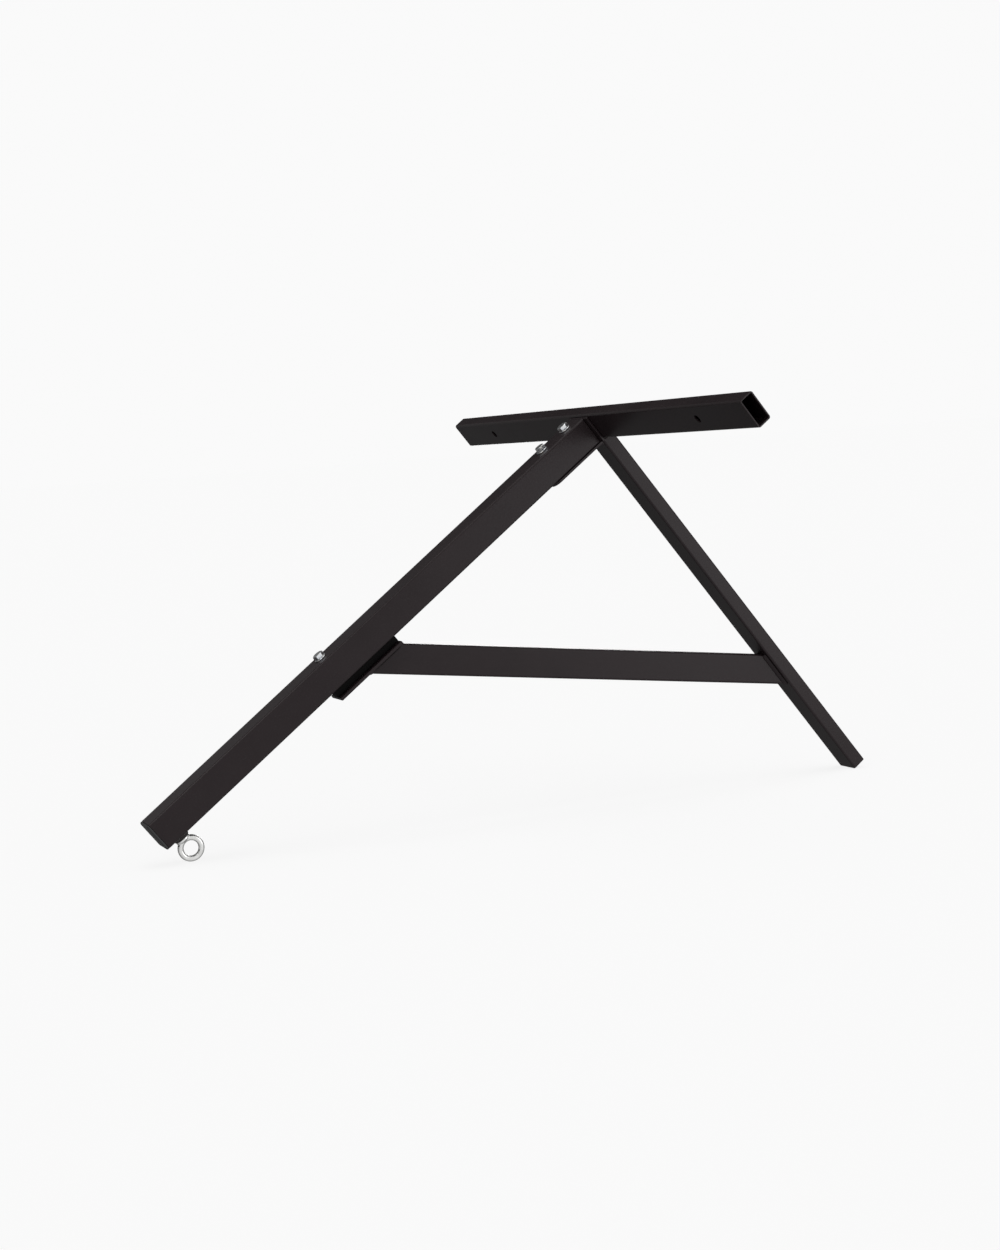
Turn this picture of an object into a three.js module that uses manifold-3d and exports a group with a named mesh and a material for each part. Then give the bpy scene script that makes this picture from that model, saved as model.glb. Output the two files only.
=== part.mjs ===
// A wall bracket that holds a hanging load, such as a training bag, well clear of the wall.
// A welded T of flat steel tube goes against the wall. A square arm is bolted on a seat at the top
// of the T, a diagonal brace props it from below, and an eye under its free end takes the load.
//
// Millimetres. +X runs along the crossbar, +Z is up, and the arm reaches out along -Y.
// The origin is the centre of the crossbar's back face, so the wall is the plane Y = 0.

import * as THREE from "three";
import { mergeVertices } from "three/addons/utils/BufferGeometryUtils.js";
import Module from "manifold-3d";

const wasm = await Module();
wasm.setup();

// --- Driving dimensions ---------------------------------------------------------------------

const GAP = 0.3; // between pieces that touch
const CORNER_STEPS = 4; // facets in the quarter turn of a tube's corner
const ROUND_STEPS = 32; // facets round a hole, a bolt or a washer

const FLAT = { width: 40, depth: 20, wall: 2, corner: 3 }; // crossbar, upright and brace
const SQUARE = { width: 40, depth: 40, wall: 2, corner: 3 }; // arm

const CROSSBAR_LENGTH = 880;
const WALL_HOLE_SPACING = 630;
const WALL_HOLE_DIAMETER = 11;
const UPRIGHT_BOTTOM = -623;

const ARM_REACH = 796; // from the wall to the outer face of the end cap
const ARM_TOP = 17;
const END_PLATE = { width: 60, thickness: 3 };
const SEAT = { end: -110, thickness: 3, corner: 10 };

const BRACE_ANGLE = THREE.MathUtils.degToRad(44); // below the horizontal
const BRACE_TOP_Y = -431.5; // where its centre line meets the brace plate
const BRACE_PLATE = { inner: -401.5, outer: -509.5, clearance: 10.7, thickness: 4 };

const CAP = { flange: 3.5, plug: 12, wall: 2, round: 2.5 };

const BOLT = { diameter: 8, headWidth: 13, headHeight: 5.3 };
const WASHER = { diameter: 16, thickness: 1.6 };
const SEAT_BOLTS = { y: [-45, -88], length: 45 };
const BRACE_BOLT = { y: -492, length: 55 };
const PACKING = { width: 20, recess: 0.5 }; // the strip in the gap between arm and brace plate

const EYE_Y = -771;
const BOSS = { diameter: 22, height: 5.2 };
const EYE = { meanRadius: 13.3, wireRadius: 3.75, collarDiameter: 20, collarHeight: 4.5 };
const EYE_DROP = 18; // from the boss to the centre of the ring
const EYE_SHANK = { diameter: 8, length: 20 };

const BEAD = { frame: 4, boss: 3.5 }; // leg of each kind of fillet weld

// --- Places worked out from them --------------------------------------------------------------

const CROSSBAR_BOTTOM = -FLAT.width / 2;
const FRAME_FRONT = -FLAT.depth;
const ARM_BOTTOM = ARM_TOP - SQUARE.depth;
const ARM_MIDDLE = ARM_TOP - SQUARE.depth / 2;
const PLATE_FRONT = FRAME_FRONT - GAP - END_PLATE.thickness;
const ARM_INNER_END = PLATE_FRONT - GAP;
const ARM_OUTER_END = CAP.flange + GAP - ARM_REACH;
const SEAT_TOP = ARM_BOTTOM - GAP;
const BRACE_PLATE_TOP = ARM_BOTTOM - BRACE_PLATE.clearance;
const BRACE_PLATE_BOTTOM = BRACE_PLATE_TOP - BRACE_PLATE.thickness;
const BOSS_BOTTOM = ARM_BOTTOM - GAP - BOSS.height;
const CLEARANCE_DIAMETER = BOLT.diameter + 2 * GAP;

const X = new THREE.Vector3(1, 0, 0);
const Y = new THREE.Vector3(0, 1, 0);
const Z = new THREE.Vector3(0, 0, 1);

// --- Materials ----------------------------------------------------------------------------------

const powderCoat = new THREE.MeshStandardMaterial({ color: 0x1c1b1c, roughness: 0.45, metalness: 0 });
const blackPlastic = new THREE.MeshStandardMaterial({ color: 0x151515, roughness: 0.35, metalness: 0 });
const blackRubber = new THREE.MeshStandardMaterial({ color: 0x0d0d0d, roughness: 0.85, metalness: 0 });
const zinc = new THREE.MeshStandardMaterial({ color: 0xc9ccd0, roughness: 0.3, metalness: 1 });
const brightSteel = new THREE.MeshStandardMaterial({ color: 0xd8d8d6, roughness: 0.18, metalness: 1 });

// --- Solids -------------------------------------------------------------------------------------

// A closed geometry as a manifold-3d solid, for cutting and joining.
function toSolid(geometry) {
  const bare = geometry.clone();
  bare.deleteAttribute("normal");
  bare.deleteAttribute("uv");
  const merged = mergeVertices(bare, 1e-4);
  const mesh = new wasm.Mesh({
    numProp: 3,
    vertProperties: new Float32Array(merged.attributes.position.array),
    triVerts: new Uint32Array(merged.index.array),
  });
  return new wasm.Manifold(mesh);
}

// A manifold-3d solid as a three.js geometry.
function toGeometry(solid) {
  const mesh = solid.getMesh();
  const geometry = new THREE.BufferGeometry();
  geometry.setAttribute("position", new THREE.BufferAttribute(new Float32Array(mesh.vertProperties), 3));
  geometry.setIndex(new THREE.BufferAttribute(new Uint32Array(mesh.triVerts), 1));
  geometry.computeVertexNormals();
  return geometry;
}

// One geometry less each of the others.
function cut(geometry, ...cutters) {
  const solid = cutters.reduce((rest, cutter) => rest.subtract(toSolid(cutter)), toSolid(geometry));
  return toGeometry(solid);
}

// Several geometries joined into one body.
function join(first, ...others) {
  const solid = others.reduce((whole, other) => whole.add(toSolid(other)), toSolid(first));
  return toGeometry(solid);
}

// A rectangle about the origin, with round corners.
function roundedRectangle(width, height, radius) {
  const [w, h] = [width / 2, height / 2];
  const shape = new THREE.Shape();
  shape.absarc(w - radius, h - radius, radius, 0, Math.PI / 2);
  shape.absarc(radius - w, h - radius, radius, Math.PI / 2, Math.PI);
  shape.absarc(radius - w, radius - h, radius, Math.PI, 1.5 * Math.PI);
  shape.absarc(w - radius, radius - h, radius, 1.5 * Math.PI, 2 * Math.PI);
  return shape;
}

// The section of a rectangular tube, about its centre.
function tubeSection({ width, depth, wall, corner }) {
  const section = roundedRectangle(width, depth, corner);
  section.holes.push(roundedRectangle(width - 2 * wall, depth - 2 * wall, corner - wall));
  return section;
}

// A section drawn in the directions right and up, and swept from start along right x up.
function sweep(section, start, right, up, length, steps = CORNER_STEPS) {
  const along = new THREE.Vector3().crossVectors(right, up);
  const options = { depth: length, bevelEnabled: false, curveSegments: steps };
  const frame = new THREE.Matrix4().makeBasis(right, up, along).setPosition(start);
  return new THREE.ExtrudeGeometry(section, options).applyMatrix4(frame);
}

// A round bar from one point along a direction.
function rod(diameter, start, direction, length) {
  const turn = new THREE.Quaternion().setFromUnitVectors(Y, direction);
  const middle = start.clone().addScaledVector(direction, length / 2);
  return new THREE.CylinderGeometry(diameter / 2, diameter / 2, length, ROUND_STEPS)
    .applyQuaternion(turn)
    .translate(middle.x, middle.y, middle.z);
}

// A round bar standing on the arm's centre line, from one height up to another.
function verticalRod(diameter, y, bottom, top) {
  return rod(diameter, new THREE.Vector3(0, y, bottom), Z, top - bottom);
}

// A cube about a point, for cutting away what lies beyond a plane.
function block(side, x, y, z) {
  return new THREE.BoxGeometry(side, side, side).translate(x, y, z);
}

// A solid turned about the vertical line at y, from radius and height pairs that go up its outside.
function turned(profile, y) {
  const points = profile.map(([radius, height]) => new THREE.Vector2(radius, height));
  return new THREE.LatheGeometry(points, ROUND_STEPS).rotateX(Math.PI / 2).translate(0, y, 0);
}

// A flat plate whose top face is at the given height, seen from above as the given outline.
function plate(outline, top, thickness) {
  return sweep(outline, new THREE.Vector3(0, 0, top - thickness), X, Y, thickness, 2 * CORNER_STEPS);
}

// A rectangle from y0 to y1 about X = 0. The corners at y0 may be round.
function plateOutline(width, y0, y1, radius = 0) {
  const w = width / 2;
  const outline = new THREE.Shape().moveTo(w, y1).lineTo(-w, y1);
  if (radius > 0) {
    outline.absarc(radius - w, y0 + radius, radius, Math.PI, 1.5 * Math.PI);
    outline.absarc(w - radius, y0 + radius, radius, 1.5 * Math.PI, 2 * Math.PI);
  } else {
    outline.lineTo(-w, y0).lineTo(w, y0);
  }
  return outline.closePath();
}

// --- The welded frame ---------------------------------------------------------------------------

function crossbar() {
  const start = new THREE.Vector3(-CROSSBAR_LENGTH / 2, FRAME_FRONT / 2, 0);
  const onEdge = { ...FLAT, width: FLAT.depth, depth: FLAT.width };
  const tube = sweep(tubeSection(onEdge), start, Y, Z, CROSSBAR_LENGTH);
  const holes = [-1, 1].map((side) => {
    const from = new THREE.Vector3((side * WALL_HOLE_SPACING) / 2, FRAME_FRONT - 1, 0);
    return rod(WALL_HOLE_DIAMETER, from, Y, FLAT.depth + 2);
  });
  return cut(tube, ...holes);
}

function upright() {
  const start = new THREE.Vector3(0, FRAME_FRONT / 2, UPRIGHT_BOTTOM);
  return sweep(tubeSection(FLAT), start, X, Y, CROSSBAR_BOTTOM - GAP - UPRIGHT_BOTTOM);
}

function seatPlate() {
  const outline = plateOutline(SQUARE.width, SEAT.end, FRAME_FRONT - GAP, SEAT.corner);
  const holes = SEAT_BOLTS.y.map((y) =>
    verticalRod(CLEARANCE_DIAMETER, y, SEAT_TOP - SEAT.thickness - 1, SEAT_TOP + 1),
  );
  return cut(plate(outline, SEAT_TOP, SEAT.thickness), ...holes);
}

// The brace is cut level under its plate and upright against the upright tube.
function brace() {
  const down = new THREE.Vector3(0, Math.cos(BRACE_ANGLE), -Math.sin(BRACE_ANGLE));
  const run = FRAME_FRONT - BRACE_TOP_Y;
  const spare = 2 * FLAT.width;
  const start = new THREE.Vector3(0, BRACE_TOP_Y, BRACE_PLATE_BOTTOM).addScaledVector(down, -spare);
  const length = run / Math.cos(BRACE_ANGLE) + 2 * spare;
  const across = new THREE.Vector3().crossVectors(down, X);
  const tube = sweep(tubeSection(FLAT), start, across, X.clone().negate(), length);
  const room = 8 * FLAT.width;
  const abovePlate = block(room, 0, BRACE_TOP_Y, BRACE_PLATE_BOTTOM - GAP + room / 2);
  const behindFront = block(room, 0, FRAME_FRONT - GAP + room / 2, braceFootZ());
  return cut(tube, abovePlate, behindFront);
}

// The height at which the brace's centre line meets the front of the upright tube.
function braceFootZ() {
  return BRACE_PLATE_BOTTOM - (FRAME_FRONT - BRACE_TOP_Y) * Math.tan(BRACE_ANGLE);
}

function bracePlate() {
  const outline = plateOutline(SQUARE.width, BRACE_PLATE.outer, BRACE_PLATE.inner);
  const hole = verticalRod(CLEARANCE_DIAMETER, BRACE_BOLT.y, BRACE_PLATE_BOTTOM - 1, BRACE_PLATE_TOP + 1);
  return cut(plate(outline, BRACE_PLATE_TOP, BRACE_PLATE.thickness), hole);
}

// --- The arm ------------------------------------------------------------------------------------

function armTube() {
  const start = new THREE.Vector3(0, ARM_OUTER_END, ARM_MIDDLE);
  const tube = sweep(tubeSection(SQUARE), start, Z, X, ARM_INNER_END - ARM_OUTER_END);
  const boltHoles = [...SEAT_BOLTS.y, BRACE_BOLT.y].map((y) =>
    verticalRod(CLEARANCE_DIAMETER, y, ARM_BOTTOM - 1, ARM_TOP + 1),
  );
  const eyeHole = verticalRod(CLEARANCE_DIAMETER, EYE_Y, ARM_BOTTOM - 1, ARM_MIDDLE);
  return cut(tube, ...boltHoles, eyeHole);
}

// The plate that closes the arm's inner end is wider than the arm, to keep it square to the wall.
function armEndPlate() {
  const outline = roundedRectangle(END_PLATE.width, SQUARE.depth, 1);
  const start = new THREE.Vector3(0, FRAME_FRONT - GAP, ARM_MIDDLE);
  return sweep(outline, start, X, Z, END_PLATE.thickness);
}

// A moulded cap: a flange as large as the tube, and a hollow plug that pushes into it.
function armEndCap() {
  const { flange, plug, wall, round } = CAP;
  const inside = SQUARE.width - 2 * SQUARE.wall - 2 * GAP;
  const face = roundedRectangle(SQUARE.width - 2 * round, SQUARE.depth - 2 * round, SQUARE.corner - 1);
  const bevel = { bevelThickness: round, bevelSize: round, bevelSegments: 3, curveSegments: CORNER_STEPS };
  const outwards = Y.clone().negate();
  const frame = new THREE.Matrix4().makeBasis(X, Z, outwards).setPosition(0, ARM_OUTER_END, ARM_MIDDLE);
  const pillow = new THREE.ExtrudeGeometry(face, { depth: flange, ...bevel }).applyMatrix4(frame);
  const room = 3 * SQUARE.width;
  const tubeSide = block(room, 0, ARM_OUTER_END - GAP + room / 2, ARM_MIDDLE);
  const farSide = block(room, 0, -ARM_REACH - room / 2, ARM_MIDDLE);
  const ring = roundedRectangle(inside, inside, 1);
  ring.holes.push(roundedRectangle(inside - 2 * wall, inside - 2 * wall, 1));
  const plugStart = new THREE.Vector3(0, ARM_OUTER_END - GAP - 1, ARM_MIDDLE);
  const plugTube = sweep(ring, plugStart, Z, X, plug + 1);
  return join(cut(pillow, tubeSide, farSide), plugTube);
}

// --- Fasteners ----------------------------------------------------------------------------------

// A hexagon bolt with its head on a washer on top of the arm.
function bolt(y, length) {
  const headBottom = ARM_TOP + WASHER.thickness + 2 * GAP;
  const hexagon = new THREE.CylinderGeometry(1, 1, BOLT.headHeight, 6)
    .scale(BOLT.headWidth / Math.sqrt(3), 1, BOLT.headWidth / Math.sqrt(3))
    .rotateX(Math.PI / 2)
    .translate(0, y, headBottom + BOLT.headHeight / 2);
  const shank = verticalRod(BOLT.diameter, y, headBottom - length, headBottom + 1);
  return join(hexagon, shank);
}

function washer(y) {
  const bottom = ARM_TOP + GAP;
  const disc = verticalRod(WASHER.diameter, y, bottom, bottom + WASHER.thickness);
  return cut(disc, verticalRod(CLEARANCE_DIAMETER, y, bottom - 1, bottom + WASHER.thickness + 1));
}

// The strip that fills the gap between the arm and the brace plate, set in a little from its ends.
function braceSpacer() {
  const [bottom, top] = [BRACE_PLATE_TOP + GAP, ARM_BOTTOM - GAP];
  const ends = [BRACE_PLATE.outer + PACKING.recess, BRACE_PLATE.inner - PACKING.recess];
  const strip = plate(plateOutline(PACKING.width, ...ends), top, top - bottom);
  return cut(strip, verticalRod(CLEARANCE_DIAMETER, BRACE_BOLT.y, bottom - 1, top + 1));
}

// --- The eye ------------------------------------------------------------------------------------

function eyeBoss() {
  const body = verticalRod(BOSS.diameter, EYE_Y, BOSS_BOTTOM, ARM_BOTTOM - GAP);
  return cut(body, verticalRod(CLEARANCE_DIAMETER, EYE_Y, BOSS_BOTTOM - 1, ARM_BOTTOM + 1));
}

// A forged ring under a round collar, on a shank that screws up through the boss into the arm.
function eyebolt() {
  const { meanRadius, wireRadius, collarDiameter, collarHeight } = EYE;
  const collarTop = BOSS_BOTTOM - GAP;
  const ring = new THREE.TorusGeometry(meanRadius, wireRadius, 16, 48)
    .rotateY(Math.PI / 2)
    .translate(0, EYE_Y, BOSS_BOTTOM - EYE_DROP);
  const collar = turned(
    [
      [0, collarTop - 2 * collarHeight],
      [wireRadius, collarTop - 2 * collarHeight],
      [collarDiameter / 2, collarTop - collarHeight / 2],
      [collarDiameter / 2, collarTop],
      [0, collarTop],
    ],
    EYE_Y,
  );
  const shank = verticalRod(EYE_SHANK.diameter, EYE_Y, collarTop - 1, collarTop + EYE_SHANK.length);
  const holeStart = new THREE.Vector3(-collarDiameter, EYE_Y, BOSS_BOTTOM - EYE_DROP);
  const hole = rod(2 * (meanRadius - wireRadius), holeStart, X, 2 * collarDiameter);
  return join(cut(join(ring, collar), hole), shank);
}

// --- Fillet welds -------------------------------------------------------------------------------

// A bead in the corner where two faces meet, from start along alongA x alongB, which lie in the faces.
function bead(start, alongA, alongB, leg, length) {
  const section = new THREE.Shape().moveTo(GAP, GAP).lineTo(leg, GAP);
  section.quadraticCurveTo(0.65 * leg, 0.65 * leg, GAP, leg);
  return sweep(section, start, alongA, alongB, length);
}

// A bead on the right-hand side of a piece, and its mirror image on the left.
function beadPair(name, start, alongB, leg, length) {
  const right = bead(start, X, alongB, leg, length);
  const left = toGeometry(toSolid(right).mirror([1, 0, 0]));
  return { [name + "_right"]: right, [name + "_left"]: left };
}

function weldBeads() {
  const down = Z.clone().negate();
  const out = Y.clone().negate();
  const [wide, narrow] = [FLAT.width / 2, FLAT.depth / 2];
  const braceFoot = FLAT.width / Math.cos(BRACE_ANGLE);
  const braceHead = FLAT.width / Math.sin(BRACE_ANGLE);
  const uprightStart = new THREE.Vector3(wide, FRAME_FRONT + 2, CROSSBAR_BOTTOM);
  const braceTopStart = new THREE.Vector3(narrow, BRACE_TOP_Y - braceHead / 2, BRACE_PLATE_BOTTOM);
  const braceFootStart = new THREE.Vector3(narrow, FRAME_FRONT, braceFootZ() + braceFoot / 2);
  const seatStart = new THREE.Vector3(wide - 1, FRAME_FRONT, SEAT_TOP - SEAT.thickness);
  return {
    ...beadPair("weld_upright", uprightStart, down, BEAD.frame, FLAT.depth - 4),
    ...beadPair("weld_brace_top", braceTopStart, down, BEAD.frame, braceHead),
    ...beadPair("weld_brace_foot", braceFootStart, out, BEAD.frame, braceFoot),
    weld_seat: bead(seatStart, down, out, BEAD.frame, 2 * wide - 2),
    weld_eye_boss: bossBead(),
  };
}

function bossBead() {
  const inner = BOSS.diameter / 2 + GAP;
  const top = ARM_BOTTOM - GAP;
  return turned(
    [
      [inner, top - BEAD.boss],
      [inner + 0.65 * BEAD.boss, top - 0.65 * BEAD.boss],
      [inner + BEAD.boss, top],
      [inner, top],
      [inner, top - BEAD.boss],
    ],
    EYE_Y,
  );
}

// --- The assembly -------------------------------------------------------------------------------

function named(name, geometry, material) {
  const mesh = new THREE.Mesh(geometry, material);
  mesh.name = name;
  return mesh;
}

const bracket = new THREE.Group();

bracket.add(
  named("crossbar", crossbar(), powderCoat),
  named("upright", upright(), powderCoat),
  named("seat_plate", seatPlate(), powderCoat),
  named("brace", brace(), powderCoat),
  named("brace_plate", bracePlate(), powderCoat),
  named("brace_spacer", braceSpacer(), blackRubber),
  named("arm_tube", armTube(), powderCoat),
  named("arm_end_plate", armEndPlate(), powderCoat),
  named("arm_end_cap", armEndCap(), blackPlastic),
  named("eye_boss", eyeBoss(), powderCoat),
  named("eyebolt", eyebolt(), brightSteel),
  named("brace_bolt", bolt(BRACE_BOLT.y, BRACE_BOLT.length), zinc),
  named("brace_bolt_washer", washer(BRACE_BOLT.y), zinc),
);

SEAT_BOLTS.y.forEach((y, i) => {
  bracket.add(
    named(`seat_bolt_${i + 1}`, bolt(y, SEAT_BOLTS.length), zinc),
    named(`seat_bolt_washer_${i + 1}`, washer(y), zinc),
  );
});

for (const [name, geometry] of Object.entries(weldBeads())) {
  bracket.add(named(name, geometry, powderCoat));
}

export default bracket;
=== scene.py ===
"""The looks of a wall bracket for a hanging load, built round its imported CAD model.

Metres, in the frame of the CAD: +X along the crossbar, +Z up the wall, the arm reaching out along
-Y. The bracket isn't on a wall here: it stands on its eye and on the foot of its upright, so the
floor is a plane that slopes in this frame.
"""

import math

import bmesh
import bpy
from mathutils import Matrix, Vector, noise

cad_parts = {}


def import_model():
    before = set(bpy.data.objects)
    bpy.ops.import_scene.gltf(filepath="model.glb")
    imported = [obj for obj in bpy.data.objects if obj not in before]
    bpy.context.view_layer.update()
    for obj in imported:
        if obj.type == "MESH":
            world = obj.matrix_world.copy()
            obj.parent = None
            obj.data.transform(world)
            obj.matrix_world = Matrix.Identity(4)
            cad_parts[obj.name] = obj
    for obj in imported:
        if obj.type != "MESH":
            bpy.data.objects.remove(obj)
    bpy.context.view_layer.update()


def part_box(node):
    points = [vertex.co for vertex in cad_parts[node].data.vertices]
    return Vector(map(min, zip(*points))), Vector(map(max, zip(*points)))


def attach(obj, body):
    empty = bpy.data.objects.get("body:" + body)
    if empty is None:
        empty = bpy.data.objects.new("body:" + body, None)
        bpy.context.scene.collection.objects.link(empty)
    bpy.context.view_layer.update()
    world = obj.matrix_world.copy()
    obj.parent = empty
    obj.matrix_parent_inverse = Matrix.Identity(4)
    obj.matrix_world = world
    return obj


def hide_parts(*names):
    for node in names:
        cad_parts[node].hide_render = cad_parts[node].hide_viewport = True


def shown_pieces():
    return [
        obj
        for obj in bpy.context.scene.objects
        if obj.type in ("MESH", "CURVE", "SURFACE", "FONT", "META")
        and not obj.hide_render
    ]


MM = 0.001
X = Vector((1, 0, 0))
Y = Vector((0, 1, 0))
Z = Vector((0, 0, 1))

# Sections and details, in metres
GAP = 0.3 * MM
TUBE_WALL = 2 * MM
TUBE_CORNER = 3 * MM
CUT_EDGE = 0.45 * MM
BRACE_ANGLE = math.radians(44)
BRACE_DEPTH = 40 * MM
BRACE_WIDTH = 20 * MM
SEAT_CORNER = 10 * MM
WALL_HOLE_SPACING = 630 * MM
WALL_HOLE_RADIUS = 5.5 * MM

# Bolts, and the holes they pass through
BOLT_RADIUS = 4 * MM
BOLT_HOLE_RADIUS = 4.3 * MM
HEAD_HEIGHT = 5.3 * MM
HEAD_ACROSS_FLATS = 13 * MM
THREAD_PITCH = 1.25 * MM
THREAD_DEPTH = 0.65 * MM
THREAD_ROWS_PER_TURN = 6
BOLT_STEPS = 36
BOLT_TURNS = {"seat_bolt_1": 12, "seat_bolt_2": 41, "brace_bolt": 25}  # how each was left, in degrees

# The eye
RING_MEAN_RADIUS = 13.3 * MM
RING_WIRE_RADIUS = 3.75 * MM
COLLAR_RADIUS = 10 * MM

# The legs of the weld beads, which run a little larger than the plain fillets in the CAD
UPRIGHT_BEAD = 5.2 * MM
BRACE_BEAD = 4.2 * MM
SEAT_BEAD = 5 * MM
BOSS_BEAD = 3.6 * MM

# The camera, the brightness of the backdrop, and where the glow at the left comes from
CAMERA_LOCATION = (2.5713, -0.9867, 0.7080)
CAMERA_ANGLES = (68.264, 37.144, 61.142)
CAMERA_LENS = 61.48
BACKDROP = 0.955
GLOW_FROM = (-0.95, -0.18, 0.26)

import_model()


# --- Nodes and materials --------------------------------------------------------------------


class Nodes:
    """A small helper that adds nodes to a tree and links them."""

    def __init__(self, tree):
        self.tree = tree
        self.tree.nodes.clear()

    def add(self, kind, **settings):
        node = self.tree.nodes.new(kind)
        for key, value in settings.items():
            setattr(node, key, value)
        return node

    def link(self, output, target):
        self.tree.links.new(output, target)

    def noise(self, vector, scale, detail=3.0, roughness=0.5):
        node = self.add("ShaderNodeTexNoise")
        node.inputs["Scale"].default_value = scale
        node.inputs["Detail"].default_value = detail
        node.inputs["Roughness"].default_value = roughness
        self.link(vector, node.inputs["Vector"])
        return node.outputs["Fac"]

    def spread(self, value, low, high, start=0.3, end=0.7):
        """value, from start to end, spread over low to high."""
        node = self.add("ShaderNodeMapRange")
        node.inputs["From Min"].default_value = start
        node.inputs["From Max"].default_value = end
        node.inputs["To Min"].default_value = low
        node.inputs["To Max"].default_value = high
        self.link(value, node.inputs["Value"])
        return node.outputs["Result"]

    def colours(self, value, *stops):
        """A colour ramp from (position, rgb) stops."""
        node = self.add("ShaderNodeValToRGB")
        ramp = node.color_ramp
        while len(ramp.elements) < len(stops):
            ramp.elements.new(1)
        for element, (position, colour) in zip(ramp.elements, stops):
            element.position = position
            element.color = (*colour, 1)
        self.link(value, node.inputs["Fac"])
        return node.outputs["Color"]

    def bump(self, height, distance, strength=1.0, normal=None):
        node = self.add("ShaderNodeBump")
        node.inputs["Distance"].default_value = distance
        node.inputs["Strength"].default_value = strength
        self.link(height, node.inputs["Height"])
        if normal:
            self.link(normal, node.inputs["Normal"])
        return node.outputs["Normal"]

    def towards(self, vector, direction):
        """How far a unit vector points in a direction: 1 along it, -1 against it."""
        node = self.add("ShaderNodeVectorMath", operation="DOT_PRODUCT")
        node.inputs[1].default_value = direction
        self.link(vector, node.inputs[0])
        return node.outputs["Value"]

    def total(self, first, *others):
        for other in others:
            node = self.add("ShaderNodeMath", operation="ADD")
            self.link(first, node.inputs[0])
            self.link(other, node.inputs[1])
            first = node.outputs["Value"]
        return first


def new_material(name):
    material = bpy.data.materials.new(name)
    material.use_nodes = True
    nodes = Nodes(material.node_tree)
    shader = nodes.add("ShaderNodeBsdfPrincipled")
    output = nodes.add("ShaderNodeOutputMaterial")
    nodes.link(shader.outputs["BSDF"], output.inputs["Surface"])
    place = nodes.add("ShaderNodeTexCoord").outputs["Object"]
    return material, nodes, shader, place


def powder_coat():
    """Satin black powder coat: a fine orange peel, with cloudy gloss and a little dust."""
    material, nodes, shader, place = new_material("black_powder_coat")
    cloud = nodes.noise(place, 14, detail=4)
    peel = nodes.noise(place, 900, detail=2)
    grain = nodes.noise(place, 3200, detail=1)
    specks = nodes.noise(place, 1500, detail=0)
    tint = nodes.colours(cloud, (0.35, (0.0120, 0.0074, 0.0086)), (0.65, (0.0150, 0.0098, 0.0111)))
    dust = nodes.add("ShaderNodeMix", data_type="RGBA")
    nodes.link(nodes.spread(specks, 0, 0.35, 0.74, 0.80), dust.inputs["Factor"])
    nodes.link(tint, dust.inputs["A"])
    dust.inputs["B"].default_value = (0.10, 0.10, 0.10, 1)
    nodes.link(dust.outputs["Result"], shader.inputs["Base Color"])
    nodes.link(nodes.spread(cloud, 0.30, 0.38), shader.inputs["Roughness"])
    shader.inputs["Specular IOR Level"].default_value = 0.18
    fine = nodes.bump(grain, 0.012 * MM)
    nodes.link(nodes.bump(peel, 0.05 * MM, normal=fine), shader.inputs["Normal"])
    return material


def black_plastic():
    """Moulded black plastic with a fine leathery grain."""
    material, nodes, shader, place = new_material("black_plastic")
    cloud = nodes.noise(place, 60, detail=3)
    cells = nodes.add("ShaderNodeTexVoronoi", feature="SMOOTH_F1")
    cells.inputs["Scale"].default_value = 1400
    nodes.link(place, cells.inputs["Vector"])
    tint = nodes.colours(cloud, (0.3, (0.011, 0.011, 0.012)), (0.7, (0.016, 0.016, 0.017)))
    nodes.link(tint, shader.inputs["Base Color"])
    nodes.link(nodes.spread(cloud, 0.34, 0.48), shader.inputs["Roughness"])
    shader.inputs["Specular IOR Level"].default_value = 0.45
    nodes.link(nodes.bump(cells.outputs["Distance"], 0.04 * MM, 0.6), shader.inputs["Normal"])
    return material


def black_rubber():
    """Dull black rubber with a faint bloom and a fine, soft grain, coloured darker than rubber is: painted
    shade for the deep slot under the arm.
    """
    material, nodes, shader, place = new_material("black_rubber")
    bloom = nodes.noise(place, 80, detail=4)
    grain = nodes.noise(place, 1200, detail=3)
    # The near-black tint is painted shade: darker than real rubber, it stands in for the shadow deep in the
    # slot between arm and brace plate.
    tint = nodes.colours(bloom, (0.35, (0.0035, 0.0032, 0.0033)), (0.7, (0.0060, 0.0056, 0.0056)))
    nodes.link(tint, shader.inputs["Base Color"])
    nodes.link(nodes.spread(bloom, 0.72, 0.88), shader.inputs["Roughness"])
    shader.inputs["Specular IOR Level"].default_value = 0.08
    nodes.link(nodes.bump(grain, 0.08 * MM), shader.inputs["Normal"])
    return material


def zinc_plate():
    """Bright zinc plate: cool grey, a little blue and straw in it, and finely scratched."""
    material, nodes, shader, place = new_material("zinc_plate")
    cloud = nodes.noise(place, 350, detail=4)
    scratches = nodes.noise(place, 2600, detail=3, roughness=0.7)
    tint = nodes.colours(
        cloud,
        (0.30, (0.62, 0.66, 0.72)),
        (0.52, (0.80, 0.81, 0.82)),
        (0.72, (0.80, 0.77, 0.69)),
    )
    nodes.link(tint, shader.inputs["Base Color"])
    shader.inputs["Metallic"].default_value = 1
    nodes.link(nodes.spread(cloud, 0.20, 0.36), shader.inputs["Roughness"])
    nodes.link(nodes.bump(scratches, 0.012 * MM), shader.inputs["Normal"])
    return material


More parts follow.
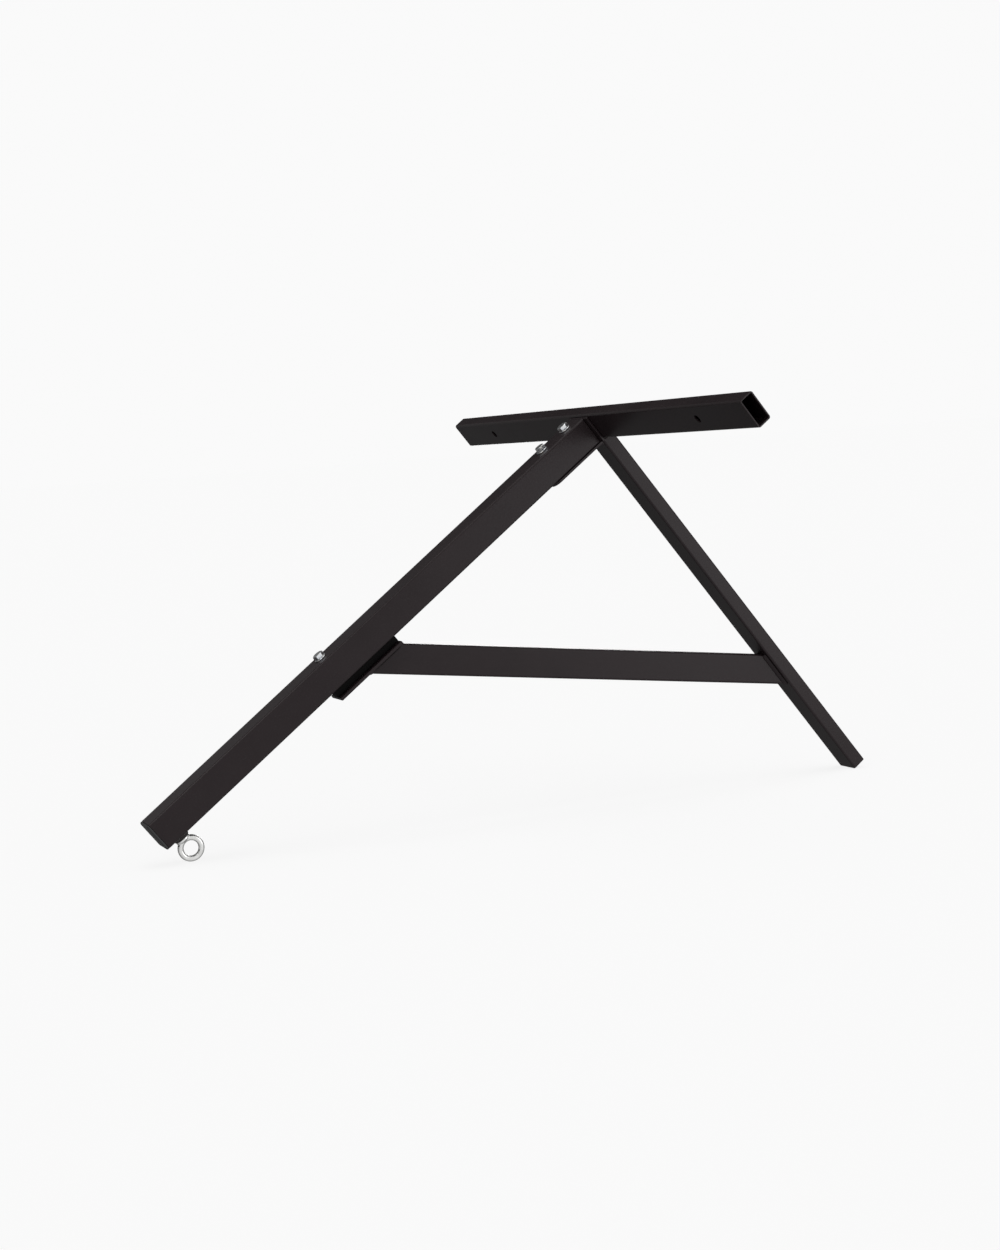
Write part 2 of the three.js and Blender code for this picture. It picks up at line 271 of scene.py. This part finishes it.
def bright_steel():
    """A plated forging: bright, softly uneven from the die, with fine pits."""
    material, nodes, shader, place = new_material("bright_steel")
    cloud = nodes.noise(place, 120, detail=3)
    waves = nodes.noise(place, 260, detail=1)
    pits = nodes.noise(place, 1900, detail=2)
    tint = nodes.colours(cloud, (0.3, (0.64, 0.64, 0.63)), (0.7, (0.77, 0.77, 0.76)))
    nodes.link(tint, shader.inputs["Base Color"])
    shader.inputs["Metallic"].default_value = 1
    nodes.link(nodes.spread(cloud, 0.18, 0.30), shader.inputs["Roughness"])
    fine = nodes.bump(pits, 0.01 * MM)
    nodes.link(nodes.bump(waves, 0.12 * MM, 0.6, normal=fine), shader.inputs["Normal"])
    return material


MATERIALS = {
    "powder": powder_coat(),
    "plastic": black_plastic(),
    "slot_shade_rubber": black_rubber(),
    "zinc": zinc_plate(),
    "steel": bright_steel(),
}


# --- Making pieces ----------------------------------------------------------------------------


def piece(bm, name, material, nodes, body="bracket", sharp=35):
    """The mesh in bm as a piece that stands for CAD nodes and moves with a body."""
    bmesh.ops.recalc_face_normals(bm, faces=bm.faces)
    mesh = bpy.data.meshes.new(name)
    bm.to_mesh(mesh)
    bm.free()
    mesh.materials.append(MATERIALS[material])
    for polygon in mesh.polygons:
        polygon.use_smooth = True
    mesh.set_sharp_from_angle(angle=math.radians(sharp))
    made = bpy.data.objects.new(name, mesh)
    bpy.context.scene.collection.objects.link(made)
    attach(made, body)
    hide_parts(*nodes)
    return made


def flat_shading(made):
    """Keeps flat faces flat where they meet round corners."""
    weighted = made.modifiers.new("flat_faces", "WEIGHTED_NORMAL")
    weighted.keep_sharp = True
    weighted.weight = 100


def grid(bm, rows, closed_rows=False):
    """Faces between rows of points. Each row closes on itself."""
    made = [[bm.verts.new(p) for p in row] for row in rows]
    pairs = list(zip(made, made[1:]))
    if closed_rows:
        pairs.append((made[-1], made[0]))
    for low, high in pairs:
        for i in range(len(low)):
            j = (i + 1) % len(low)
            bm.faces.new((low[i], low[j], high[j], high[i]))
    return made


def rounded_rectangle(width, height, corner, steps=8):
    """Points round a rectangle about the origin, with round corners."""
    points = []
    for quarter, (sx, sy) in enumerate(((1, 1), (-1, 1), (-1, -1), (1, -1))):
        centre = Vector((sx * (width / 2 - corner), sy * (height / 2 - corner)))
        for k in range(steps + 1):
            angle = (quarter + k / steps) * math.pi / 2
            points.append(centre + corner * Vector((math.cos(angle), math.sin(angle))))
    return points


def circle(radius, steps):
    return [
        Vector((radius * math.cos(2 * math.pi * k / steps), radius * math.sin(2 * math.pi * k / steps)))
        for k in range(steps)
    ]


def tube(start, right, up, width, height, length):
    """A rectangular tube from start along right x up, with rounded cut edges at both ends."""
    along = right.cross(up)
    outer = rounded_rectangle(width, height, TUBE_CORNER)
    inner = rounded_rectangle(width - 2 * TUBE_WALL, height - 2 * TUBE_WALL, TUBE_CORNER - TUBE_WALL)
    nick = 0.29 * CUT_EDGE
    near = [(CUT_EDGE, 0), (nick, nick), (0, CUT_EDGE)]
    rim = near + [(s, TUBE_WALL - depth) for s, depth in reversed(near)]
    stations = rim + [(length - s, TUBE_WALL - depth) for s, depth in rim]
    bm = bmesh.new()
    rows = []
    for s, depth in stations:
        share = depth / TUBE_WALL
        row = [a.lerp(b, share) for a, b in zip(outer, inner)]
        rows.append([start + right * p.x + up * p.y + along * s for p in row])
    grid(bm, rows, closed_rows=True)
    return bm


def turned(profile, steps=48, closed=True, centre=Vector((0, 0, 0))):
    """A solid turned about a vertical line, from (radius, height) points. A profile that isn't
    closed starts and ends on the line."""
    bm = bmesh.new()
    ends = () if closed else (profile[0], profile[-1])
    body = profile if closed else profile[1:-1]
    rows = [[centre + Vector((p.x, p.y, z)) for p in circle(r, steps)] for r, z in body]
    made = grid(bm, rows, closed_rows=closed)
    for end, row in zip(ends, (made[0], made[-1])):
        tip = bm.verts.new(centre + Vector((0, 0, end[1])))
        for i in range(steps):
            bm.faces.new((tip, row[i], row[(i + 1) % steps]))
    return bm


def plate(outline, low, high, edge=0.5 * MM):
    """A flat plate with the given outline, seen from above, and rounded edges."""
    bm = bmesh.new()
    inset = [(edge, low), (0.29 * edge, low + 0.29 * edge), (0, low + edge)]
    inset += [(0, high - edge), (0.29 * edge, high - 0.29 * edge), (edge, high)]
    centre = sum(outline, Vector((0, 0))) / len(outline)
    offsets = [p - centre for p in outline]
    reach_x = max(abs(p.x) for p in offsets)
    reach_y = max(abs(p.y) for p in offsets)
    rows = []
    for depth, height in inset:
        share_x = 1 - depth / reach_x
        share_y = 1 - depth / reach_y
        rows.append([Vector((centre.x + p.x * share_x, centre.y + p.y * share_y, height)) for p in offsets])
    made = grid(bm, rows)
    bm.faces.new(made[0])
    bm.faces.new(made[-1])
    return bm


def drill(made, radius, centre, axis, length):
    """Cuts a round hole through a piece."""
    bm = bmesh.new()
    turn = Z.rotation_difference(axis).to_matrix().to_4x4()
    rows = [[Vector((p.x, p.y, z)) for p in circle(radius, 40)] for z in (-length / 2, length / 2)]
    ends = grid(bm, rows)
    bm.faces.new(ends[0])
    bm.faces.new(ends[-1])
    bmesh.ops.transform(bm, matrix=Matrix.Translation(centre) @ turn, verts=bm.verts)
    bmesh.ops.recalc_face_normals(bm, faces=bm.faces)
    mesh = bpy.data.meshes.new("drill")
    bm.to_mesh(mesh)
    bm.free()
    cutter = bpy.data.objects.new("drill", mesh)
    bpy.context.scene.collection.objects.link(cutter)
    cut = made.modifiers.new("hole", "BOOLEAN")
    cut.operation = "DIFFERENCE"
    cut.solver = "EXACT"
    cut.object = cutter
    bpy.context.view_layer.objects.active = made
    bpy.ops.object.modifier_apply(modifier=cut.name)
    bpy.data.objects.remove(cutter)
    made.data.set_sharp_from_angle(angle=math.radians(35))


def centre_of(node):
    low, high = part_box(node)
    return (low + high) / 2


# --- Tubes ------------------------------------------------------------------------------------


def crossbar():
    low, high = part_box("crossbar")
    middle = Vector((low.x, (low.y + high.y) / 2, (low.z + high.z) / 2))
    bm = tube(middle, Y, Z, high.y - low.y, high.z - low.z, high.x - low.x)
    made = piece(bm, "crossbar_tube", "powder", ["crossbar"])
    for side in (-1, 1):
        place = Vector((side * WALL_HOLE_SPACING / 2, middle.y, middle.z))
        drill(made, WALL_HOLE_RADIUS, place, Y, 50 * MM)
    flat_shading(made)


def upright():
    low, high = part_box("upright")
    start = Vector((0, (low.y + high.y) / 2, low.z))
    bm = tube(start, X, Y, high.x - low.x, high.y - low.y, high.z - low.z)
    flat_shading(piece(bm, "upright_tube", "powder", ["upright"]))


def arm():
    low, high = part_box("arm_tube")
    start = Vector((0, low.y, (low.z + high.z) / 2))
    bm = tube(start, Z, X, high.z - low.z, high.x - low.x, high.y - low.y)
    made = piece(bm, "arm_square_tube", "powder", ["arm_tube"])
    middle = (low.z + high.z) / 2
    for name in BOLT_TURNS:
        drill(made, BOLT_HOLE_RADIUS, Vector((0, centre_of(name).y, middle)), Z, 60 * MM)
    drill(made, BOLT_HOLE_RADIUS, Vector((0, centre_of("eye_boss").y, low.z)), Z, 10 * MM)
    flat_shading(made)


def brace():
    """The brace is cut level under its plate, and upright against the upright tube."""
    low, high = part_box("brace")
    down = Vector((0, math.cos(BRACE_ANGLE), -math.sin(BRACE_ANGLE)))
    top = Vector((0, low.y + BRACE_DEPTH / 2 / math.sin(BRACE_ANGLE), high.z))
    spare = 1.5 * BRACE_DEPTH
    length = (high.y - top.y) / math.cos(BRACE_ANGLE) + 2 * spare
    bm = tube(top - down * spare, down.cross(X), -X, BRACE_DEPTH, BRACE_WIDTH, length)
    for point, normal in ((top, Z), (Vector((0, high.y, 0)), Y)):
        geometry = bm.verts[:] + bm.edges[:] + bm.faces[:]
        cut = bmesh.ops.bisect_plane(bm, geom=geometry, plane_co=point, plane_no=normal, clear_outer=True)
        edges = [e for e in cut["geom_cut"] if isinstance(e, bmesh.types.BMEdge)]
        bmesh.ops.bridge_loops(bm, edges=edges)
    flat_shading(piece(bm, "brace_tube", "powder", ["brace"]))


# --- Plates and packing -----------------------------------------------------------------------


def rectangle_outline(low, high, round_at_low=0.0, corner=0.4 * MM):
    """An outline in X and Y. The two corners at the low Y end may be rounder than the others."""
    big = max(round_at_low, corner)
    corners = (
        (high.x, high.y, corner),
        (low.x, high.y, corner),
        (low.x, low.y, big),
        (high.x, low.y, big),
    )
    points = []
    for quarter, (x, y, radius) in enumerate(corners):
        centre = Vector((x - math.copysign(radius, x), y + (radius if quarter > 1 else -radius)))
        for k in range(9):
            angle = (quarter + k / 8) * math.pi / 2
            points.append(centre + radius * Vector((math.cos(angle), math.sin(angle))))
    return points


def seat_plate():
    low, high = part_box("seat_plate")
    bm = plate(rectangle_outline(low, high, SEAT_CORNER), low.z, high.z, edge=0.2 * MM)
    made = piece(bm, "seat", "powder", ["seat_plate"])
    for bolt in ("seat_bolt_1", "seat_bolt_2"):
        drill(made, BOLT_HOLE_RADIUS, Vector((0, centre_of(bolt).y, low.z)), Z, 20 * MM)
    flat_shading(made)


def brace_plate():
    low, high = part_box("brace_plate")
    bm = plate(rectangle_outline(low, high), low.z, high.z)
    made = piece(bm, "brace_head_plate", "powder", ["brace_plate"])
    drill(made, BOLT_HOLE_RADIUS, Vector((0, centre_of("brace_bolt").y, low.z)), Z, 20 * MM)
    flat_shading(made)


def arm_end_plate():
    """This plate stands on edge between the arm and the crossbar."""
    low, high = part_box("arm_end_plate")
    flat_low = Vector((low.x, -high.z, 0))
    flat_high = Vector((high.x, -low.z, 0))
    bm = plate(rectangle_outline(flat_low, flat_high, corner=1 * MM), low.y, high.y)
    stand = Matrix(((1, 0, 0, 0), (0, 0, 1, 0), (0, -1, 0, 0), (0, 0, 0, 1)))
    bmesh.ops.transform(bm, matrix=stand, verts=bm.verts)
    flat_shading(piece(bm, "arm_root_plate", "powder", ["arm_end_plate"]))


def brace_spacer():
    """The packing strip between arm and brace plate, drilled for the bolt that clamps it. Its near-black
    colour is painted shade for the deep slot it fills.
    """
    low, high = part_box("brace_spacer")
    bm = plate(rectangle_outline(low, high, corner=1 * MM), low.z, high.z, edge=0.8 * MM)
    # The strip takes the near-black rubber, whose colour is painted shade for the slot.
    made = piece(bm, "packing_strip_painted_shade", "slot_shade_rubber", ["brace_spacer"])
    middle = Vector((0, centre_of("brace_bolt").y, (low.z + high.z) / 2))
    drill(made, BOLT_HOLE_RADIUS, middle, Z, 20 * MM)
    flat_shading(made)


# --- The arm's end cap ------------------------------------------------------------------------


def cap_stations(inner_end, back, face):
    """(inset, y) pairs along the cap's surface, from inside its plug, round the flange, to its face.
    inset is how far the surface lies inside the tube's outline."""
    snug = TUBE_WALL + 0.5 * MM
    body = snug + 0.4 * MM
    hollow = snug + 2 * MM
    stations = [(hollow, back - 1 * MM), (hollow, inner_end - 0.4 * MM), (hollow - 0.4 * MM, inner_end)]
    stations += [(snug + 0.8 * MM, inner_end), (body, inner_end - 0.5 * MM)]
    for rib in range(3):
        y = inner_end - (3 + 3 * rib) * MM
        stations += [(body, y + 0.6 * MM), (snug, y + 0.2 * MM), (snug, y), (body, y - 0.2 * MM)]
    stations += [(body, back), (0.35 * MM, back), (0, back - 0.35 * MM)]
    thickness = back - face
    for turn in (0.15, 0.35, 0.55, 0.75, 0.92):
        angle = turn * math.pi / 2
        inset = 2.4 * MM * (1 - math.cos(angle))
        stations.append((inset, back - thickness * (0.25 + 0.68 * math.sin(angle))))
    return stations + [(4 * MM, face + 0.12 * MM), (8 * MM, face + 0.03 * MM), (14 * MM, face)]


def end_cap():
    """A moulded cap: a crowned flange, and a ribbed hollow plug inside the tube."""
    low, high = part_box("arm_end_cap")
    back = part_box("arm_tube")[0].y - GAP
    side = high.x - low.x
    middle = (low.z + high.z) / 2
    bm = bmesh.new()
    rows = []
    for inset, y in cap_stations(high.y, back, low.y):
        width = side - 2 * inset
        corner = max(TUBE_CORNER - 0.6 * inset, 0.6 * MM)
        rows.append([Vector((p.x, y, middle + p.y)) for p in rounded_rectangle(width, width, corner)])
    made = grid(bm, rows)
    bm.faces.new(made[0])
    bm.faces.new(made[-1])
    piece(bm, "end_cap", "plastic", ["arm_end_cap"], sharp=50)


# --- Bolts and washers ------------------------------------------------------------------------


def washer_profile(inside, outside, low, high, edge=0.2 * MM):
    """(radius, height) points round the section of a flat ring."""
    return [
        (inside, low + edge),
        (inside + edge, low),
        (outside - edge, low),
        (outside, low + edge),
        (outside, high - edge),
        (outside - edge, high),
        (inside + edge, high),
        (inside, high - edge),
    ]


def washer(node):
    low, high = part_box(node)
    profile = washer_profile(BOLT_HOLE_RADIUS, (high.x - low.x) / 2, low.z, high.z)
    bm = turned(profile, centre=Vector((0, centre_of(node).y, 0)))
    piece(bm, node + "_ring", "zinc", [node])


def thread_radii(angles, run, fade):
    """The thread's radius at each angle, at a distance run along the shank."""
    radii = []
    for a in angles:
        phase = (run / THREAD_PITCH + a / (2 * math.pi)) % 1
        radii.append(BOLT_RADIUS - 0.05 * MM - fade * THREAD_DEPTH * abs(2 * phase - 1))
    return radii


def bolt(node, turn):
    """A hexagon bolt: a chamfered head, a flat bearing face and a rolled thread."""
    low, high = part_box(node)
    y = centre_of(node).y
    seat = high.z - HEAD_HEIGHT
    flat = HEAD_ACROSS_FLATS / 2
    chamfer = 0.94 * flat
    angles = [2 * math.pi * k / BOLT_STEPS for k in range(BOLT_STEPS)]
    hexagon = [flat / math.cos((a % (math.pi / 3)) - math.pi / 6) for a in angles]

    def ring(radii, heights):
        around = zip(radii, angles, heights)
        return [Vector((r * math.cos(a + turn), y + r * math.sin(a + turn), z)) for r, a, z in around]

    def level(r, z):
        return ring([r] * BOLT_STEPS, [z] * BOLT_STEPS)

    top = [high.z - 0.58 * max(r - chamfer, 0) for r in hexagon]
    bottom = [seat + 0.15 * MM + 0.2 * max(r - chamfer, 0) for r in hexagon]
    rows = [
        level(0.80 * chamfer, high.z),
        level(chamfer, high.z),
        ring(hexagon, top),
        ring(hexagon, bottom),
        level(chamfer, seat + 0.15 * MM),
        level(chamfer - 0.1 * MM, seat),
        level(BOLT_RADIUS + 0.2 * MM, seat),
        level(BOLT_RADIUS - 0.1 * MM, seat - 0.6 * MM),
    ]
    count = int((seat - low.z - 2.2 * MM) / THREAD_PITCH * THREAD_ROWS_PER_TURN)
    for k in range(count):
        z = seat - 0.9 * MM - k * THREAD_PITCH / THREAD_ROWS_PER_TURN
        fade = min(1, k / 12, (count - k) / 8)
        rows.append(ring(thread_radii(angles, seat - z, fade), [z] * BOLT_STEPS))
    rows += [level(BOLT_RADIUS - 0.1 * MM, low.z + 1 * MM), level(BOLT_RADIUS - 1 * MM, low.z)]
    bm = bmesh.new()
    made = grid(bm, rows)
    bm.faces.new(made[0])
    bm.faces.new(made[-1])
    piece(bm, node + "_hex", "zinc", [node], sharp=24)


# --- The eye ----------------------------------------------------------------------------------


def eye_boss():
    low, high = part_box("eye_boss")
    profile = washer_profile(BOLT_HOLE_RADIUS, (high.x - low.x) / 2, low.z, high.z, edge=0.6 * MM)
    piece(turned(profile, centre=Vector((0, centre_of("eye_boss").y, 0))), "boss", "powder", ["eye_boss"])


def eye_ring(bm, centre, steps=72, wire_steps=32):
    """A ring that stands upright across the X axis."""
    rows = []
    for k in range(steps):
        a = 2 * math.pi * k / steps
        out = Vector((0, math.cos(a), math.sin(a)))
        wire = circle(RING_WIRE_RADIUS, wire_steps)
        rows.append([centre + out * (RING_MEAN_RADIUS + p.x) + X * p.y for p in wire])
    grid(bm, rows, closed_rows=True)


def eye_shaft(centre, collar_top, shank_top):
    """The round collar and the shank above it."""
    profile = [
        (0, collar_top - 5.6 * MM),
        (4.0 * MM, collar_top - 5.6 * MM),
        (6.5 * MM, collar_top - 4.6 * MM),
        (9.4 * MM, collar_top - 3.2 * MM),
        (COLLAR_RADIUS, collar_top - 2.5 * MM),
        (COLLAR_RADIUS, collar_top - 0.5 * MM),
        (COLLAR_RADIUS - 0.4 * MM, collar_top),
        (BOLT_RADIUS, collar_top),
        (BOLT_RADIUS, shank_top - 0.8 * MM),
        (BOLT_RADIUS - 0.8 * MM, shank_top),
        (0, shank_top),
    ]
    return turned(profile, closed=False, centre=centre)


def add_to(bm, other):
    """Moves the faces of another mesh into bm."""
    spare = bpy.data.meshes.new("spare")
    other.to_mesh(spare)
    other.free()
    bm.from_mesh(spare)
    bpy.data.meshes.remove(spare)


def eyebolt():
    """A ring that flows into a round collar, forged in one with its shank."""
    low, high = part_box("eyebolt")
    y = centre_of("eyebolt").y
    ring_z = low.z + RING_MEAN_RADIUS + RING_WIRE_RADIUS
    collar_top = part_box("eye_boss")[0].z - GAP
    bm = bmesh.new()
    eye_ring(bm, Vector((0, y, ring_z)))
    add_to(bm, eye_shaft(Vector((0, y, 0)), collar_top, high.z))
    made = piece(bm, "lifting_eye", "steel", ["eyebolt"], body="eye", sharp=60)
    remesh = made.modifiers.new("forge", "REMESH")
    remesh.mode = "VOXEL"
    remesh.voxel_size = 0.45 * MM
    remesh.use_smooth_shade = True
    soften = made.modifiers.new("soften", "SMOOTH")
    soften.factor = 0.5
    soften.iterations = 5
    bpy.context.view_layer.objects.active = made
    for modifier in ("forge", "soften"):
        bpy.ops.object.modifier_apply(modifier=modifier)


# --- Weld beads -------------------------------------------------------------------------------


def bead_rows(points, leg, seed, pitch=1.9 * MM, ripple=0.11, across=10):
    """Rows of points for a rippled fillet. points holds, for each place along the run, the corner,
    the two directions of the faces, the distance run so far and the distance left."""
    rows = []
    for corner, side_a, side_b, done, left in points:
        wander = 1 + 0.10 * noise.noise(Vector((done / (4 * MM), seed, 0)))
        end = min(done, left) / leg
        taper = math.sqrt(max(0.0, 1 - (1 - min(end, 1)) ** 2)) * 0.75 + 0.25
        size = leg * wander * taper
        row = [corner + (side_a + side_b) * 0.1 * MM]
        for k in range(across + 1):
            t = k / across
            angle = t * math.pi / 2
            jitter = 0.3 * noise.noise(Vector((done / (3 * MM), seed, 5)))
            phase = done / pitch + 0.9 * (2 * t - 1) ** 2 + jitter
            scallop = 1 + ripple * math.sin(math.pi * t) * (abs(math.sin(math.pi * phase)) - 0.6)
            bulge = size * scallop * (0.80 + 0.20 * abs(2 * t - 1) ** 1.5)
            row.append(corner + side_a * bulge * math.cos(angle) + side_b * bulge * math.sin(angle))
        rows.append(row)
    return rows


def straight_bead(node, start, end, side_a, side_b, leg, seed):
    """A run of weld in a straight corner between two faces."""
    length = (end - start).length
    steps = int(length / (0.22 * MM))
    points = []
    for k in range(steps + 1):
        done = length * k / steps
        points.append((start.lerp(end, k / steps), side_a, side_b, done, length - done))
    bm = bmesh.new()
    made = grid(bm, bead_rows(points, leg, seed))
    bm.faces.new(made[0])
    bm.faces.new(made[-1])
    piece(bm, node + "_run", "powder", [node], sharp=180)


def beads_on_side(side, word):
    """The runs on the right-hand side (1) or the left-hand side (-1)."""
    out = X * side
    bar_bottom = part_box("crossbar")[0].z
    plate_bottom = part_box("brace_plate")[0].z
    front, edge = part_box("upright")[0].y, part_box("upright")[1].x * side
    brace_side = side * BRACE_WIDTH / 2
    node = "weld_upright_" + word
    low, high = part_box(node)
    ends = [Vector((edge, y, bar_bottom)) for y in (low.y, high.y)]
    straight_bead(node, *ends, out, -Z, UPRIGHT_BEAD, 1 + side)
    node = "weld_brace_top_" + word
    low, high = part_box(node)
    ends = [Vector((brace_side, y, plate_bottom)) for y in (low.y, high.y)]
    straight_bead(node, *ends, out, -Z, BRACE_BEAD, 5 + side)
    node = "weld_brace_foot_" + word
    low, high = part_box(node)
    ends = [Vector((brace_side, front, z)) for z in (high.z, low.z)]
    straight_bead(node, *ends, out, -Y, BRACE_BEAD, 9 + side)


def seat_bead():
    low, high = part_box("weld_seat")
    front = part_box("upright")[0].y
    plate_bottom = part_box("seat_plate")[0].z
    ends = [Vector((x, front, plate_bottom)) for x in (low.x, high.x)]
    straight_bead("weld_seat", *ends, -Z, -Y, SEAT_BEAD, 17)


def boss_bead():
    """The bead round the eye's boss, closed on itself."""
    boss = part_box("eye_boss")
    radius = (boss[1].x - boss[0].x) / 2
    centre = Vector((0, centre_of("eye_boss").y, boss[1].z))
    steps = 320
    around = 2 * math.pi * radius
    points = []
    for k in range(steps):
        a = 2 * math.pi * k / steps
        out = Vector((math.cos(a), math.sin(a), 0))
        done = BOSS_BEAD + around * k / steps
        points.append((centre + out * radius, out, -Z, done, BOSS_BEAD + around))
    bm = bmesh.new()
    grid(bm, bead_rows(points, BOSS_BEAD, 21, pitch=around / 36), closed_rows=True)
    piece(bm, "weld_eye_boss_run", "powder", ["weld_eye_boss"], sharp=180)


# --- The studio -------------------------------------------------------------------------------


def floor_plane():
    """(unit normal, distance from the origin) of the plane that touches the ring from below and
    the front edge of the upright's foot."""
    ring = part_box("eyebolt")
    radius = RING_MEAN_RADIUS + RING_WIRE_RADIUS
    y, z = (ring[0].y + ring[1].y) / 2, ring[0].z + radius
    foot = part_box("upright")[0]
    run, rise = foot.y - y, z - foot.z
    slope = math.atan2(rise, run) - math.asin(radius / math.hypot(run, rise))
    normal = Vector((0, math.sin(slope), math.cos(slope)))
    return normal, normal.dot(Vector((0, foot.y, foot.z)))


def flat_mesh_object(name, corners, material):
    mesh = bpy.data.meshes.new(name)
    mesh.from_pydata(corners, [], [tuple(range(len(corners)))])
    mesh.materials.append(material)
    made = bpy.data.objects.new(name, mesh)
    bpy.context.scene.collection.objects.link(made)
    return made


def floor_material():
    """Pale, almost shadowless paper. It shows from above only."""
    material = bpy.data.materials.new("studio_floor")
    material.use_nodes = True
    nodes = Nodes(material.node_tree)
    glow = nodes.add("ShaderNodeEmission")
    glow.inputs["Color"].default_value = (1, 1, 1, 1)
    glow.inputs["Strength"].default_value = 0.85
    matt = nodes.add("ShaderNodeBsdfDiffuse")
    matt.inputs["Color"].default_value = (0.12, 0.12, 0.12, 1)
    paper = nodes.add("ShaderNodeAddShader")
    nodes.link(glow.outputs[0], paper.inputs[0])
    nodes.link(matt.outputs[0], paper.inputs[1])
    nothing = nodes.add("ShaderNodeBsdfTransparent")
    side = nodes.add("ShaderNodeNewGeometry")
    one_sided = nodes.add("ShaderNodeMixShader")
    nodes.link(side.outputs["Backfacing"], one_sided.inputs[0])
    nodes.link(paper.outputs[0], one_sided.inputs[1])
    nodes.link(nothing.outputs[0], one_sided.inputs[2])
    output = nodes.add("ShaderNodeOutputMaterial")
    nodes.link(one_sided.outputs[0], output.inputs["Surface"])
    return material


def floor(normal, distance):
    """The floor, so large that its edges can't be seen. It is in no reflection and no bounce."""
    along = normal.cross(X)
    centre = normal * distance
    half = 60
    around = ((-1, -1), (1, -1), (1, 1), (-1, 1))
    corners = [centre + X * sx * half + along * sy * half for sx, sy in around]
    made = flat_mesh_object("studio_floor", corners, floor_material())
    made.visible_diffuse = False
    made.visible_glossy = False


def world(normal):
    """A pale backdrop to the camera. The object gets a softer light instead: bright from the right,
    faint from the floor, and with a glow at the left that shows in its level faces."""
    made = bpy.data.worlds.new("studio")
    bpy.context.scene.world = made
    made.use_nodes = True
    nodes = Nodes(made.node_tree)
    place = nodes.add("ShaderNodeTexCoord").outputs["Generated"]
    right = nodes.towards(place, (X * 0.83 + normal * 0.35).normalized())
    down = nodes.towards(place, -normal)
    left = nodes.towards(place, Vector(GLOW_FROM).normalized())
    strength = nodes.total(
        nodes.spread(right, 0.01, 0.92, -0.70, 0.80),
        nodes.spread(down, 0, 0.34, 0, 1),
        nodes.spread(left, 0, 0.26, 0.86, 0.98),
    )
    light = nodes.add("ShaderNodeBackground")
    nodes.link(strength, light.inputs["Strength"])
    backdrop = nodes.add("ShaderNodeBackground")
    backdrop.inputs["Strength"].default_value = BACKDROP
    for node in (light, backdrop):
        node.inputs["Color"].default_value = (1, 1, 1, 1)
    seen = nodes.add("ShaderNodeLightPath")
    either = nodes.add("ShaderNodeMixShader")
    nodes.link(seen.outputs["Is Camera Ray"], either.inputs[0])
    nodes.link(light.outputs[0], either.inputs[1])
    nodes.link(backdrop.outputs[0], either.inputs[2])
    output = nodes.add("ShaderNodeOutputWorld")
    nodes.link(either.outputs[0], output.inputs["Surface"])


def sun(name, towards, strength, width):
    """A very wide, soft light from far away. Its width is in degrees."""
    data = bpy.data.lights.new(name, "SUN")
    data.energy = strength
    data.angle = math.radians(width)
    made = bpy.data.objects.new(name, data)
    made.rotation_mode = "QUATERNION"
    made.rotation_quaternion = (-Z).rotation_difference(Vector(towards))
    bpy.context.scene.collection.objects.link(made)


def softbox(name, place, aim, size, power):
    """A square light panel that shines on the bracket alone."""
    data = bpy.data.lights.new(name, "AREA")
    data.size = size
    data.energy = power
    made = bpy.data.objects.new(name, data)
    made.location = place
    made.rotation_mode = "QUATERNION"
    made.rotation_quaternion = (Vector(aim) - Vector(place)).to_track_quat("-Z", "Y")
    made.light_linking.receiver_collection = bpy.data.collections["bracket"]
    bpy.context.scene.collection.objects.link(made)


def camera():
    data = bpy.data.cameras.new("camera")
    data.lens = CAMERA_LENS
    data.sensor_width = 36
    made = bpy.data.objects.new("camera", data)
    made.location = CAMERA_LOCATION
    made.rotation_euler = [math.radians(a) for a in CAMERA_ANGLES]
    bpy.context.scene.collection.objects.link(made)
    bpy.context.scene.camera = made


# --- Everything together ------------------------------------------------------------------------

camera()
crossbar()
upright()
arm()
brace()
seat_plate()
brace_plate()
arm_end_plate()
brace_spacer()
end_cap()
for name, degrees in BOLT_TURNS.items():
    bolt(name, math.radians(degrees))
for name in ("seat_bolt_washer_1", "seat_bolt_washer_2", "brace_bolt_washer"):
    washer(name)
eye_boss()
eyebolt()
beads_on_side(1, "right")
beads_on_side(-1, "left")
seat_bead()
boss_bead()

bracket = bpy.data.collections.new("bracket")
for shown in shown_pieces():
    bracket.objects.link(shown)

floor_normal, floor_distance = floor_plane()
floor(floor_normal, floor_distance)
world(floor_normal)
sun("overhead", -floor_normal, strength=0.8, width=40)
softbox("top", (0.53, -0.61, 1.94), aim=(0, -0.77, 0), size=0.8, power=8)
softbox("right", (1.9, 1.0, -0.9), aim=(0, 0, -0.3), size=1.2, power=9)
softbox("far_side", (-2.3, 0.6, -0.5), aim=(0, -0.3, -0.2), size=0.8, power=9)

bpy.context.scene.view_settings.view_transform = "Standard"
